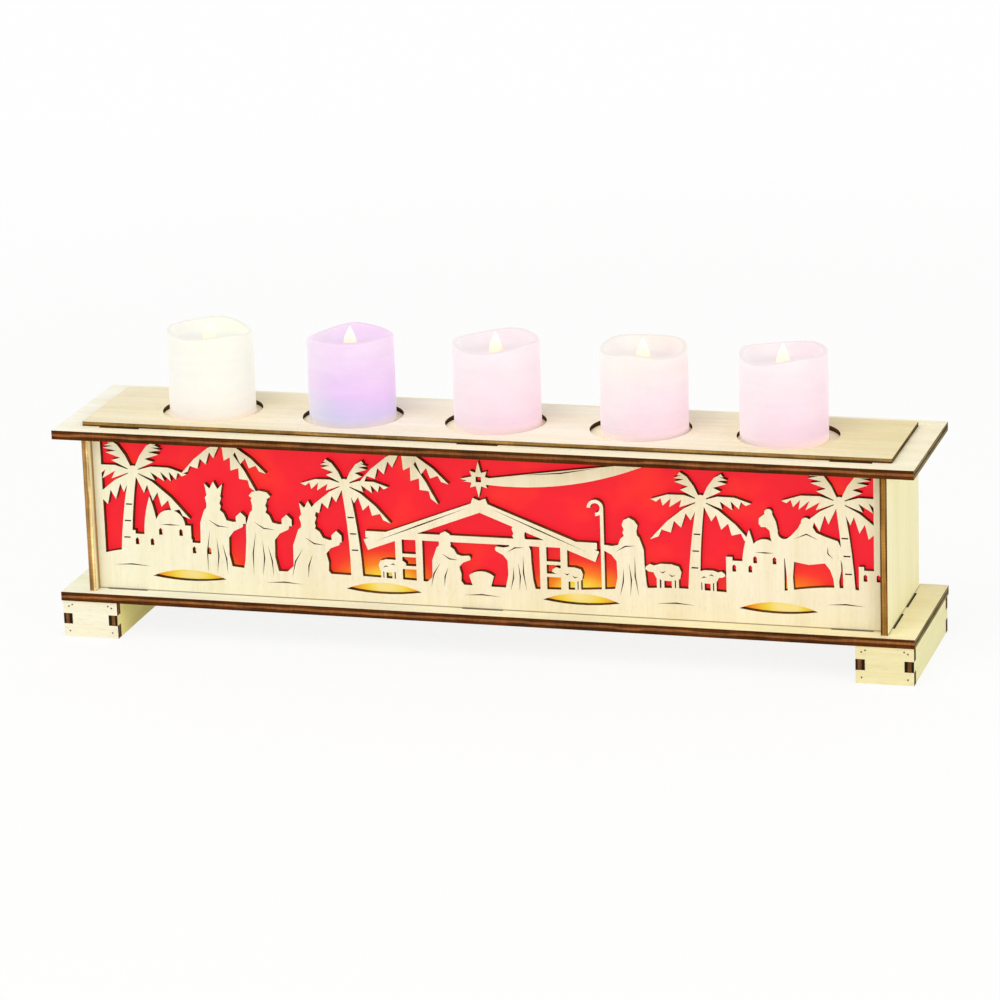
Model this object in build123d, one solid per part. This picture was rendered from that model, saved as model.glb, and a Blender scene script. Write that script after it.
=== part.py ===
"""Advent candle holder: a plywood light box with a fretwork front that carries five LED candles.

Millimetres, +Z up. The origin is on the floor, midway between the two feet, and the fretwork faces -Y.
"""

import math
import os

from build123d import *

overrun = 1.0  # how far a cut runs past the face that it opens

# Base plate and top plate, cut alike
plate_length = 380.0
plate_width = 77.0
plate_thickness = 4.0

# Candle plate, glued on the top plate, with a round hole about each candle
candle_plate_end_margin = 11.0
candle_plate_side_margin = 9.4
candle_plate_thickness = 2.0
candle_hole_diameter = 44.0
candle_end_margin = 50.2
candle_count = 5

# Four walls of the box
box_end_margin = 12.2
box_side_margin = 3.8
panel_height = 69.5
panel_thickness = 3.0
panel_setback = 5.0

# Tabs of the walls, and the loose mortises that take them
panel_tab_length = 18.0
panel_tab_inset = 4.0
end_tab_length = 20.0
end_tab_inset = 10.0
tab_clearance = 0.15
mortise_slack = 1.0

# Two hollow feet, each a finger-jointed frame of four boards
foot_height = 16.5
foot_width = 25.0
foot_board_thickness = 4.0
foot_inset = 0.5
foot_tenon_height = 4.6
foot_joint_clearance = 0.1

# Translucent film behind the fretwork
film_thickness = 0.4
film_margin = 0.5

# Lamp strip that stands on the base plate behind the film
strip_end_gap = 26.8
strip_width = 8.0
strip_thickness = 1.2
strip_setback = 10.0
lamp_count = 4
lamp_end_margin = 16.0
lamp_size = 5.0
lamp_height = 1.6
terminal_length = 9.0
terminal_height = 5.0

# Battery case under the base plate, for two cells side by side
cell_diameter = 10.5
cell_length = 44.5
case_wall = 1.5
case_cell_clearance = 0.4
case_contact_depth = 1.8
case_switch_bay = 11.0
case_edge_gap = 1.5
case_lip_height = 1.0
contact_thickness = 0.4
contact_width = 8.0
contact_pad = 3.0
cover_thickness = 1.4
cover_clearance = 0.2
cover_groove = 0.8
cover_rib_count = 4
cover_rib_width = 0.8
cover_rib_pitch = 2.4
knob_length = 4.0
knob_width = 3.0
knob_flange = 1.0
knob_travel = 3.0
knob_stand = 0.9
knob_clearance = 0.2

# Lead from the battery case up through the base plate to the lamp strip
lead_width = 3.0
lead_thickness = 1.4
lead_clearance = 0.1
lead_slot_clearance = 0.8
lead_bend_radius = 2.5

# LED candle: a wax sleeve round a moulded core, whose top is the floor of the bowl
candle_diameter = 38.0
candle_rim_height = 39.0
candle_offset_shares = (0.0, 0.0, 0.35, 0.6, -0.6)
candle_turn_degrees = (20.0, 165.0, 260.0, 330.0, 235.0)
wax_wall = 2.6
bowl_depth = 9.0
rim_slope_degrees = (17.0, 11.0, 14.0)
core_recess = 0.6
core_clearance = 0.2

# Flat flame tip, and the lamp under it
flame_width = 6.2
flame_foot_width = 5.2
flame_point_width = 0.8
flame_thickness = 2.8
flame_height = 12.0
flame_belly_share = 0.36
board_size = 3.6
board_thickness = 0.8
board_clearance = 0.2
chip_size = 2.0
chip_height = 0.7

# Coin cell in the core, under a round cover that turns with a coin's edge
coin_diameter = 20.0
coin_thickness = 3.2
coin_clearance = 0.3
hatch_offset = 2.0
hatch_thickness = 1.9
hatch_clearance = 0.2
hatch_slot_length = 12.0
hatch_slot_width = 1.8
hatch_slot_depth = 0.8

# Slide switch beside the coin cell
slider_length = 2.4
slider_width = 1.6
slider_flange = 0.7
slider_flange_thickness = 0.8
slider_travel = 2.0
slider_clearance = 0.15
slider_wall = 1.2

# Fretwork picture: widths of the bands and cuts
frame_band = 3.6
top_band = 2.6
fold_width = 0.6
arc_turn_degrees = 60.0
window_width = 1.6
least_opening = 0.7

# Places along the panel are shares of its length from the middle, heights are shares of its height
ground_shares = (
    (-0.5, 0.22),
    (-0.43, 0.27),
    (-0.34, 0.20),
    (-0.20, 0.175),
    (0.0, 0.15),
    (0.15, 0.17),
    (0.25, 0.205),
    (0.34, 0.20),
    (0.43, 0.26),
    (0.5, 0.22),
)
pond_shares = ((-0.380, 0.10), (-0.126, 0.085), (0.126, 0.085), (0.372, 0.10))
pond_length = 34.0
pond_width = 5.0
pond_bow = 1.0
furrow_shares = ((-0.255, 0.095), (0.0, 0.085), (0.245, 0.10), (-0.455, 0.16), (0.455, 0.15))
furrow_length = 17.0

# Palms: place, height of the crown, lean, length of the fronds as a share of the longest, number of fronds
palm_shares = (
    (-0.462, 0.78, 0.014, 1.0, 6),
    (-0.160, 0.76, -0.012, 0.8, 6),
    (0.268, 0.77, 0.010, 0.88, 6),
    (0.460, 0.80, -0.012, 1.0, 6),
)
palm_root_share = 0.10
palm_trunk_width = 5.6
palm_neck_share = 0.6
palm_heart_diameter = 5.0
palm_ring_shares = (0.36, 0.52, 0.68)
palm_ring_reach_share = 0.26
frond_length = 27.0
frond_droop_share = 0.42
frond_bends = 3
frond_butt_share = 0.35
frond_spread_degrees = 220.0
leaflet_pitch = 5.4
leaflet_degrees = 50.0
leaflet_length_share = 0.36
leaflet_notch_shares = (0.1, 0.35)
leaflet_tip_shares = (0.4, 1.0)
spray_shares = ((-0.330, 1.0, 0.76), (-0.098, 1.0, 0.8))
spray_degrees = (200.0, 318.0, 346.0)

# Houses of the town: place, width and height in shares of the panel height, dome or flat roof
house_shares = (
    (-0.437, 0.20, 0.37, False),
    (-0.402, 0.27, 0.44, True),
    (-0.362, 0.20, 0.33, False),
    (0.328, 0.20, 0.40, False),
    (0.356, 0.24, 0.46, True),
    (0.487, 0.16, 0.38, False),
)
house_dome_share = 0.36
house_collar_share = 0.7
house_parapet_share = 0.2
house_parapet_height = 1.6

# Stable: heights and places across as shares of its height and width
stable_width = 92.0
stable_height = 39.0
stable_foot_share = 0.12
stable_post_shares = (-0.40, -0.30, 0.30, 0.40)
stable_beam_width = 3.0
stable_roof_width = 5.0
stable_eave_shares = (0.56, 0.46)
stable_ridge_share = 0.04
stable_tie_share = 0.58
stable_rail_shares = (0.22, 0.36)
stable_line_shares = (0.08, 0.9)

# Star over the stable, with its tail
star_place_shares = (0.0, 0.835)
star_radius = 8.0
star_waist_share = 0.4
star_short_share = 0.66
star_eye = 2.4
star_points = 8
tail_shares = (0.22, 0.16)
tail_root_share = 0.09
tail_width = 6.4
tail_sag = -3.0
tail_line_shares = (0.25, 0.7)

# Robed figures: closed outlines of arcs, each through three points, in shares of the figure's height
walker_shares = (
    (-0.24, 0.0),
    (-0.19, 0.22),
    (-0.17, 0.45),
    (-0.165, 0.62),
    (-0.115, 0.76),
    (-0.09, 0.785),
    (-0.085, 0.83),
    (-0.10, 0.90),
    (-0.06, 0.955),
    (0.0, 0.985),
    (0.06, 0.955),
    (0.082, 0.90),
    (0.06, 0.845),
    (0.075, 0.81),
    (0.06, 0.77),
    (0.10, 0.735),
    (0.13, 0.66),
    (0.20, 0.645),
    (0.29, 0.655),
    (0.315, 0.62),
    (0.29, 0.585),
    (0.21, 0.545),
    (0.15, 0.47),
    (0.145, 0.28),
    (0.18, 0.12),
    (0.195, 0.055),
    (0.24, 0.0),
    (0.0, -0.02),
)
kneeler_shares = (
    (-0.38, 0.0),
    (-0.30, 0.10),
    (-0.20, 0.19),
    (-0.195, 0.42),
    (-0.13, 0.60),
    (-0.10, 0.625),
    (-0.095, 0.66),
    (-0.115, 0.735),
    (-0.07, 0.795),
    (-0.01, 0.825),
    (0.05, 0.79),
    (0.075, 0.735),
    (0.055, 0.68),
    (0.065, 0.65),
    (0.055, 0.62),
    (0.105, 0.585),
    (0.14, 0.52),
    (0.21, 0.50),
    (0.30, 0.51),
    (0.325, 0.475),
    (0.29, 0.44),
    (0.22, 0.41),
    (0.17, 0.35),
    (0.195, 0.25),
    (0.19, 0.16),
    (0.24, 0.09),
    (0.28, 0.0),
    (0.0, -0.02),
)
walker_fold_shares = (
    ((-0.10, 0.06), (-0.06, 0.55), 0.02),
    ((0.0, 0.06), (0.01, 0.46), -0.02),
    ((0.12, 0.06), (0.07, 0.40), -0.015),
    ((-0.08, 0.66), (0.16, 0.58), -0.03),
)
kneeler_fold_shares = (
    ((-0.22, 0.06), (-0.08, 0.40), 0.03),
    ((-0.04, 0.06), (0.02, 0.34), 0.02),
    ((-0.07, 0.52), (0.17, 0.44), -0.03),
)
head_shares = {"walker": (0.0, 0.94), "kneeler": (-0.01, 0.78)}
hand_shares = {"walker": (0.29, 0.65), "kneeler": (0.29, 0.50)}
crown_shares = (
    (-0.08, -0.01),
    (-0.10, 0.115),
    (-0.045, 0.06),
    (0.0, 0.14),
    (0.045, 0.06),
    (0.10, 0.115),
    (0.075, -0.01),
)
turban_shares = (
    (-0.075, -0.03),
    (-0.12, 0.005),
    (-0.08, 0.05),
    (0.0, 0.065),
    (0.08, 0.05),
    (0.12, 0.005),
    (0.075, -0.03),
    (0.0, -0.04),
)
casket_shares = ((-0.055, -0.02), (0.055, -0.02), (0.055, 0.055), (0.0, 0.105), (-0.055, 0.055))
wise_man_height = 41.0
wise_man_shares = (-0.343, -0.283, -0.219)
shepherd_height = 38.0
shepherd_place_share = 0.188
crook_height_share = 1.08
crook_reach_share = 0.31
crook_radius_share = 0.075
crook_width = 1.5
parent_height = 33.0
mother_place_share = -0.044
father_place_share = 0.048
figure_foot_share = 0.10

# Manger with the child
manger_width = 11.0
manger_height = 6.0
manger_foot_share = 0.13
manger_spread_share = 0.34
child_height = 2.0

# Sheep: place, height of the feet, length as a share of the full sheep, and which way it looks
sheep_length = 16.0
sheep_shares = (
    (0.114, 0.155, 0.82, -1),
    (0.235, 0.185, 0.95, -1),
    (0.285, 0.195, 0.75, 1),
    (-0.118, 0.155, 0.75, 1),
)
fleece_outline_shares = (
    (-0.40, 0.56),
    (-0.36, 0.36),
    (-0.14, 0.29),
    (0.14, 0.29),
    (0.33, 0.37),
    (0.40, 0.52),
    (0.54, 0.54),
    (0.64, 0.60),
    (0.62, 0.68),
    (0.50, 0.76),
    (0.38, 0.72),
    (0.20, 0.78),
    (-0.12, 0.78),
    (-0.33, 0.72),
)
sheep_leg_shares = (-0.28, -0.16, 0.14, 0.27)
sheep_leg_width_share = 0.085
sheep_belly_share = 0.45
fleece_shares = (((-0.24, 0.46), (-0.02, 0.50), 0.05), ((0.04, 0.58), (0.24, 0.56), 0.05))

# Camel, in shares of its length, of arcs through three points each
camel_length = 40.0
camel_place_shares = (0.408, 0.20)
camel_shares = (
    (0.515, 0.77),
    (0.51, 0.83),
    (0.45, 0.88),
    (0.40, 0.935),
    (0.37, 0.88),
    (0.33, 0.80),
    (0.31, 0.70),
    (0.27, 0.62),
    (0.20, 0.63),
    (0.12, 0.70),
    (0.06, 0.80),
    (0.01, 0.86),
    (-0.04, 0.80),
    (-0.10, 0.70),
    (-0.20, 0.66),
    (-0.33, 0.62),
    (-0.39, 0.50),
    (-0.40, 0.40),
    (-0.43, 0.30),
    (-0.415, 0.29),
    (-0.39, 0.31),
    (-0.375, 0.37),
    (-0.36, 0.42),
    (-0.365, 0.30),
    (-0.34, 0.18),
    (-0.345, 0.09),
    (-0.36, 0.0),
    (-0.325, -0.01),
    (-0.29, 0.0),
    (-0.29, 0.10),
    (-0.28, 0.20),
    (-0.245, 0.30),
    (-0.19, 0.37),
    (-0.02, 0.345),
    (0.14, 0.37),
    (0.155, 0.20),
    (0.14, 0.0),
    (0.175, -0.01),
    (0.21, 0.0),
    (0.22, 0.20),
    (0.24, 0.40),
    (0.33, 0.46),
    (0.385, 0.60),
    (0.40, 0.70),
    (0.44, 0.735),
    (0.49, 0.735),
)
camel_line_shares = (((-0.13, 0.62), (0.14, 0.62), -0.06), ((-0.28, 0.42), (-0.22, 0.56), 0.03))

# Cypress trees: place and height
cypress_shares = ((-0.428, 0.62), (0.337, 0.60))
cypress_width = 6.4

# Levels and faces that several pieces share
base_top = foot_height + plate_thickness
panel_top = base_top + panel_height
seat_top = panel_top + plate_thickness
candle_plate_length = plate_length - 2 * candle_plate_end_margin
candle_plate_width = plate_width - 2 * candle_plate_side_margin
candle_pitch = (candle_plate_length - 2 * candle_end_margin) / (candle_count - 1)
box_length = plate_length - 2 * box_end_margin
end_panel_width = plate_width - 2 * box_side_margin
end_tab_spacing = end_panel_width - 2 * end_tab_inset - end_tab_length
panel_length = box_length - 2 * panel_thickness
panel_face = end_panel_width / 2 - panel_setback
panel_tab_place = (panel_length - panel_tab_length) / 2 - panel_tab_inset
end_face = box_length / 2
panel_middle = panel_face - panel_thickness / 2
end_middle = end_face - panel_thickness / 2

standing = (Align.CENTER, Align.CENTER, Align.MIN)


def panel_tab_places():
    """Places of a long wall's tabs along X."""
    return (-panel_tab_place, 0, panel_tab_place)


def end_tab_places():
    """Places of an end wall's tabs along Y."""
    return (-end_tab_spacing / 2, end_tab_spacing / 2)


# Plates


def mortises():
    """Slots for the tabs of all four walls, each loose on its outer side, one plate thickness deep."""
    depth = panel_thickness + tab_clearance + mortise_slack
    shift = (mortise_slack - tab_clearance) / 2
    height = plate_thickness + 2 * overrun
    panel_slot = Box(panel_tab_length + 2 * tab_clearance, depth, height, align=standing)
    end_slot = Box(depth, end_tab_length + 2 * tab_clearance, height, align=standing)
    slots = []
    for side in (-1, 1):
        slots += [Pos(x, side * (panel_middle + shift), -overrun) * panel_slot for x in panel_tab_places()]
        slots += [Pos(side * (end_middle + shift), y, -overrun) * end_slot for y in end_tab_places()]
    return slots


def base_plate():
    """Board that carries the walls and covers both feet, with a slot for the lead."""
    board = Box(plate_length, plate_width, plate_thickness, align=standing)
    slot_width = lead_width + 2 * lead_slot_clearance
    slot_depth = lead_thickness + 4 * lead_slot_clearance
    slot = Box(slot_width, slot_depth, plate_thickness + 2 * overrun, align=standing)
    return Pos(0, 0, foot_height) * (board - mortises() - Pos(lead_place, case_place, -overrun) * slot)


def top_plate():
    """Board on the walls, the floor under the candles."""
    board = Box(plate_length, plate_width, plate_thickness, align=standing)
    return Pos(0, 0, panel_top) * (board - mortises())


def candle_plate():
    """Thin board that keeps the candles in their places."""
    board = Box(candle_plate_length, candle_plate_width, candle_plate_thickness, align=standing)
    hole = Cylinder(candle_hole_diameter / 2, candle_plate_thickness + 2 * overrun, align=standing)
    holes = [Pos(x, 0, -overrun) * hole for x in candle_places()]
    return Pos(0, 0, seat_top) * (board - holes)


def candle_places():
    """Middle of each candle hole along X."""
    first = -candle_pitch * (candle_count - 1) / 2
    return [first + number * candle_pitch for number in range(candle_count)]


# Walls


def panel_outline():
    """Flat outline of a long wall: its board with three tabs above and below."""
    full_height = panel_height + 2 * plate_thickness
    board = Pos(0, panel_height / 2) * Rectangle(panel_length, panel_height)
    tab = Rectangle(panel_tab_length, full_height)
    return board + [Pos(x, panel_height / 2) * tab for x in panel_tab_places()]


def panel_plane(face):
    """Upright plane that looks along -Y, with the bottom edge of the wall as its X axis."""
    return Plane((0, face, base_top), x_dir=(1, 0, 0), z_dir=(0, -1, 0))


def front_panel():
    """Fretwork wall."""
    return extrude(panel_plane(-panel_face) * (panel_outline() - fretwork()), -panel_thickness)


def back_panel():
    """Plain wall at the rear."""
    return extrude(panel_plane(panel_face) * panel_outline(), panel_thickness)


def end_panel(side):
    """End wall with two tabs above and below, its outer face at the end of the box."""
    board = Box(panel_thickness, end_panel_width, panel_height, align=standing)
    tab = Box(panel_thickness, end_tab_length, panel_height + 2 * plate_thickness, align=standing)
    board += [Pos(0, y, -plate_thickness) * tab for y in end_tab_places()]
    return Pos(side * end_middle, 0, base_top) * board


def red_film():
    """Sheet that lies against the back of the fretwork."""
    length, height = panel_length - 2 * film_margin, panel_height - 2 * film_margin
    sheet = Box(length, film_thickness, height, align=standing)
    return Pos(0, panel_thickness + film_thickness / 2 - panel_face, base_top + film_margin) * sheet


# Fretwork


def outline(points):
    """Flat figure with straight sides."""
    return make_face(Polyline(*points, close=True))


def curved(points):
    """Flat figure whose sides each run through an odd point: arcs where they turn, or else straight."""
    ring = list(points) + [points[0]]
    sides = []
    for first in range(0, len(points), 2):
        start, middle, end = ring[first : first + 3]
        turn = (middle - start).get_angle(end - middle)
        side = ThreePointArc if turn > arc_turn_degrees else Polyline
        sides.append(side(start, middle, end))
    return make_face(sides)


def sliver(start, end, bow, width):
    """Slender cut with pointed ends, bowed to the left of its way."""
    start, end = Vector(*start), Vector(*end)
    middle = (start + end) / 2
    normal = (end - start).normalized().rotate(Axis.Z, 90)
    return outline([start, middle + normal * (bow - width / 2), end, middle + normal * (bow + width / 2)])


def lens(start, end, sagitta, width):
    """Slender figure between two arcs that share their ends, bowed to the left by the sagitta."""
    start, end = Vector(*start), Vector(*end)
    middle = (start + end) / 2
    normal = (end - start).normalized().rotate(Axis.Z, 90)
    arcs = [ThreePointArc(start, middle + normal * (sagitta + bow), end) for bow in (width / 2, -width / 2)]
    return make_face(arcs)


def beam(start, end, width):
    """Straight bar with square ends."""
    start, end = Vector(*start), Vector(*end)
    half = (end - start).normalized().rotate(Axis.Z, 90) * (width / 2)
    return outline([start + half, end + half, end - half, start - half])


def spot(shares):
    """Point of the picture from its shares of the panel's length and height."""
    return Vector(shares[0] * panel_length, shares[1] * panel_height)


def scaled(shares, place, size, facing=1):
    """Points given in shares of a size, from a place, turned round if the figure faces -1."""
    return [place + Vector(facing * across * size, up * size) for across, up in shares]


def folds(shares, place, size, facing=1):
    """Fold lines of a figure, each given by its ends and its bow."""
    creases = []
    for low, high, bow in shares:
        ends = scaled((low, high), place, size, facing)
        creases.append(sliver(*ends, bow * size, fold_width))
    return creases


def ground():
    """Rolling ground along the foot of the picture."""
    top = Spline(*[spot(shares) for shares in ground_shares])
    left, right = top @ 0, top @ 1
    sides = Polyline(left, (left.X, 0), (right.X, 0), right)
    return make_face([top, sides])


def ponds():
    """Lens-shaped openings low in the ground, where the lamps shine, and fine furrows between them."""
    pond, furrow = Vector(pond_length / 2, 0), Vector(furrow_length / 2, 0)
    openings = [lens(spot(place) - pond, spot(place) + pond, pond_bow, pond_width) for place in pond_shares]
    for place in furrow_shares:
        openings.append(sliver(spot(place) - furrow, spot(place) + furrow, fold_width, fold_width))
    return openings


def frond(crown, degrees, length):
    """Palm leaf that droops from the crown, with pointed leaflets below that lean to its tip."""
    reach = Vector(length, 0).rotate(Axis.Z, degrees)
    droop = Vector(0, -length * frond_droop_share)
    turn = leaflet_degrees if reach.X < 0 else -leaflet_degrees

    def point(way, depth):
        leaflet = (reach + droop * 2 * way).normalized().rotate(Axis.Z, turn)
        taper = math.sin(math.pi * (frond_butt_share + (1 - frond_butt_share) * way))
        leaflet *= length * leaflet_length_share * taper
        return crown + reach * way + droop * way * way + leaflet * depth

    rib = [point(bend / frond_bends, 0) for bend in range(frond_bends + 1)]
    leaflet_count = round(length / leaflet_pitch)
    leaflets = []
    for number in range(leaflet_count):
        for step, depth in (leaflet_notch_shares, leaflet_tip_shares):
            leaflets.append(point((number + step) / leaflet_count, depth))
    return outline(rib + leaflets[::-1])


def palm(place_share, height_share, lean_share, size_share, fronds):
    """Palm: a bowed tapering trunk under a crown of fronds."""
    foot = spot((place_share, palm_root_share))
    crown = spot((place_share + lean_share, height_share))
    half, neck = palm_trunk_width / 2, palm_trunk_width * palm_neck_share / 2
    bow = Vector(lean_share * panel_length / 4, 0)
    sides = []
    for side in (-1, 1):
        low, high = foot + Vector(side * half, 0), crown + Vector(side * neck, 0)
        sides.append(ThreePointArc(low, (low + high) / 2 - bow, high))
    caps = [Line(sides[0] @ end, sides[1] @ end) for end in (0, 1)]
    first = (180 - frond_spread_degrees) / 2
    step = frond_spread_degrees / (fronds - 1)
    leaves = [frond(crown, first + number * step, frond_length * size_share) for number in range(fronds)]
    return [make_face(sides + caps), Pos(*crown) * Circle(palm_heart_diameter / 2)] + leaves


def spray(place_share, height_share, size_share):
    """Leaves that hang into the picture from the top band."""
    root = spot((place_share, height_share))
    return [frond(root, degrees, frond_length * size_share) for degrees in spray_degrees]


def palm_rings(place_share, height_share, lean_share, size_share, fronds):
    """Short lines across a palm's trunk."""
    foot = spot((place_share, palm_root_share))
    crown = spot((place_share + lean_share, height_share))
    half = Vector(palm_trunk_width * palm_ring_reach_share, 0)
    rings = []
    for way in palm_ring_shares:
        bow = Vector(lean_share * panel_length * way * (1 - way), 0)
        middle = foot + (crown - foot) * way - bow
        rings.append(beam(middle - half, middle + half, fold_width))
    return rings


def house(place_share, width_share, height_share, dome):
    """Flat-roofed house with a parapet, or with a dome on its roof."""
    x, width, height = place_share * panel_length, width_share * panel_height, height_share * panel_height
    body = Pos(x, height / 2) * Rectangle(width, height)
    if dome:
        return [body, Pos(x, height) * Circle(width * house_dome_share)]
    stub = width * house_parapet_share
    block = Rectangle(stub, 2 * house_parapet_height)
    return [body] + [Pos(x + side * (width - stub) / 2, height) * block for side in (-1, 1)]


def house_windows(place_share, width_share, height_share, dome):
    """Two pointed windows high in a house, and a line under its dome."""
    x, width, height = place_share * panel_length, width_share * panel_height, height_share * panel_height
    half, sill = window_width / 2, -window_width
    pane = outline([(-half, sill), (half, sill), (half, half), (0, window_width), (-half, half)])
    level = height - 2 * window_width
    windows = [Pos(x + side * width / 4, level) * pane for side in (-1, 1)]
    if dome:
        reach = width * house_dome_share * house_collar_share
        windows.append(sliver((x - reach, height), (x + reach, height), 0, fold_width))
    return windows


def stable_spot(across, up):
    """Point of the stable from its shares of the stable's width and height."""
    return Vector(across * stable_width, stable_foot_share * panel_height + up * stable_height)


def stable():
    """Open stable: posts, tie beam, rails and a gable roof."""
    eave, eave_height = stable_eave_shares
    tie = [stable_spot(side * eave, stable_tie_share) for side in (-1, 1)]
    bars = [beam(*tie, stable_beam_width)]
    for post in stable_post_shares:
        bars.append(beam(stable_spot(post, 0), stable_spot(post, stable_tie_share), stable_beam_width))
    for side in (-1, 1):
        ridge = stable_spot(-side * stable_ridge_share, 1)
        bars.append(beam(stable_spot(side * eave, eave_height), ridge, stable_roof_width))
        for rail in stable_rail_shares:
            ends = [stable_spot(side * post, rail) for post in stable_post_shares[:2]]
            bars.append(beam(*ends, stable_beam_width / 2))
    return bars


def stable_lines():
    """Board line along each slope of the roof."""
    lines = []
    for side in (-1, 1):
        low, high = stable_spot(side * stable_eave_shares[0], stable_eave_shares[1]), stable_spot(0, 1)
        ends = [low + (high - low) * share for share in stable_line_shares]
        lines.append(sliver(*ends, 0, fold_width))
    return lines


def star():
    """Star of long and short rays, with a tail that sweeps up into the top band."""
    centre = spot(star_place_shares)
    points = []
    for number in range(2 * star_points):
        ray = star_radius * (1 if number % 4 == 0 else star_short_share)
        reach = ray if number % 2 == 0 else star_radius * star_waist_share
        points.append(centre + Vector(reach, 0).rotate(Axis.Z, number * 180 / star_points))
    root = centre - spot(tail_shares) * tail_root_share
    return [outline(points), lens(root, centre + spot(tail_shares), tail_sag, tail_width)]


def star_lines():
    """Eye of the star and a streak in its tail."""
    centre = spot(star_place_shares)
    ends = [centre + spot(tail_shares) * share for share in tail_line_shares]
    return [Pos(*centre) * Rectangle(star_eye, star_eye), sliver(*ends, tail_sag / 4, fold_width)]


def wise_men():
    """Two walkers and a kneeler who bring their gifts to the stable: shapes and fold lines."""
    robes = {
        "walker": (walker_shares, walker_fold_shares),
        "kneeler": (kneeler_shares, kneeler_fold_shares),
    }
    shapes, lines = [], []
    for number, place_share in enumerate(wise_man_shares):
        place = spot((place_share, figure_foot_share))
        pose = "kneeler" if number == len(wise_man_shares) - 1 else "walker"
        body, creases = robes[pose]
        head = scaled((head_shares[pose],), place, wise_man_height)[0]
        hand = scaled((hand_shares[pose],), place, wise_man_height)[0]
        hat = turban_shares if number == 1 else crown_shares
        shapes.append(curved(scaled(body, place, wise_man_height)))
        shapes.append(outline(scaled(casket_shares, hand, wise_man_height)))
        shapes.append(outline(scaled(hat, head, wise_man_height)))
        lines += folds(creases, place, wise_man_height)
    return shapes, lines


def shepherd():
    """Shepherd with a crook, who looks to the stable: shapes and fold lines."""
    place = spot((shepherd_place_share, figure_foot_share))
    staff = place - Vector(crook_reach_share * shepherd_height, 0)
    staff_top = staff + Vector(0, crook_height_share * shepherd_height)
    radius = crook_radius_share * shepherd_height
    hook = Circle(radius + crook_width / 2) - Circle(radius - crook_width / 2)
    hook -= Pos(-radius, -radius) * Rectangle(2 * radius, 2 * radius)
    shapes = [
        curved(scaled(walker_shares, place, shepherd_height, -1)),
        beam(staff, staff_top, crook_width),
        Pos(staff_top.X - radius, staff_top.Y) * hook,
    ]
    return shapes, folds(walker_fold_shares, place, shepherd_height, -1)


def family():
    """Kneeling mother, standing father, and the manger between them: shapes and fold lines."""
    mother = spot((mother_place_share, figure_foot_share))
    father = spot((father_place_share, figure_foot_share))
    foot = manger_foot_share * panel_height
    low, high, top = manger_width * manger_spread_share, manger_width / 2, foot + manger_height
    shapes = [
        curved(scaled(kneeler_shares, mother, parent_height)),
        curved(scaled(walker_shares, father, parent_height, -1)),
        outline([(-low, foot), (low, foot), (high, top), (-high, top)]),
        lens((-high, top), (high, top), 0, 2 * child_height),
    ]
    lines = folds(kneeler_fold_shares, mother, parent_height)
    return shapes, lines + folds(walker_fold_shares, father, parent_height, -1)


def sheep(place_share, foot_share, length_share, facing):
    """Sheep on four legs: shapes and fleece lines."""
    length, place = sheep_length * length_share, spot((place_share, foot_share))
    shapes = [outline(scaled(fleece_outline_shares, place, length, facing))]
    for leg in sheep_leg_shares:
        ends = scaled(((leg, 0), (leg, sheep_belly_share)), place, length, facing)
        shapes.append(beam(*ends, sheep_leg_width_share * length))
    return shapes, folds(fleece_shares, place, length, facing)


def camel():
    """Camel that looks away from the stable: shape and saddle lines."""
    place = spot(camel_place_shares)
    lines = folds(camel_line_shares, place, camel_length, -1)
    return [curved(scaled(camel_shares, place, camel_length, -1))], lines


def cypress(place_share, height_share):
    """Tall pointed tree."""
    return lens(spot((place_share, palm_root_share)), spot((place_share, height_share)), 0, cypress_width)


def fretwork():
    """All openings of the picture: the sky round the figures, and the windows, ponds and lines."""
    sky_height = panel_height - top_band
    sky = Pos(0, sky_height / 2) * Rectangle(panel_length - 2 * frame_band, sky_height)
    figures = [ground()] + stable() + star() + [cypress(*shares) for shares in cypress_shares]
    lines = ponds() + stable_lines() + star_lines()
    for shares in palm_shares:
        figures += palm(*shares)
        lines += palm_rings(*shares)
    for shares in spray_shares:
        figures += spray(*shares)
    for shares in house_shares:
        figures += house(*shares)
        lines += house_windows(*shares)
    groups = [wise_men(), shepherd(), family(), camel()] + [sheep(*shares) for shares in sheep_shares]
    for group_figures, group_lines in groups:
        figures += group_figures
        lines += group_lines
    sky_openings = (sky - figures).faces().filter_by(lambda face: face.area > least_opening**2)
    return Sketch() + sky_openings + lines


# Feet


def foot_boards(side):
    """Front, back, outer and inner board of one foot, the side boards tenoned through the other two."""
    length = plate_width - 2 * foot_inset
    middle = side * (plate_length / 2 - foot_inset - foot_width / 2)
    board_y = (length - foot_board_thickness) / 2
    side_x = (foot_width - foot_board_thickness) / 2
    cross = Box(foot_width, foot_board_thickness, foot_height, align=standing)
    notch = Box(
        foot_board_thickness + foot_joint_clearance,
        foot_board_thickness + 2 * overrun,
        foot_tenon_height + 2 * foot_joint_clearance,
    )
    for hand in (-1, 1):
        notch_x = hand * (foot_width - foot_board_thickness - foot_joint_clearance) / 2
        cross -= Pos(notch_x, 0, foot_height / 2) * notch
    rail = Box(foot_board_thickness, length - 2 * foot_board_thickness, foot_height, align=standing)
    rail += Pos(0, 0, foot_height / 2) * Box(foot_board_thickness, length, foot_tenon_height)
    return {
        "front": Pos(middle, -board_y, 0) * cross,
        "back": Pos(middle, board_y, 0) * cross,
        "outer_side": Pos(middle + side * side_x, 0, 0) * rail,
        "inner_side": Pos(middle - side * side_x, 0, 0) * rail,
    }


# Lamp strip


strip_place = panel_face - panel_thickness - film_thickness - strip_setback
strip_length = panel_length - 2 * strip_end_gap
lamp_pitch = (strip_length - 2 * lamp_end_margin) / (lamp_count - 1)


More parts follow.
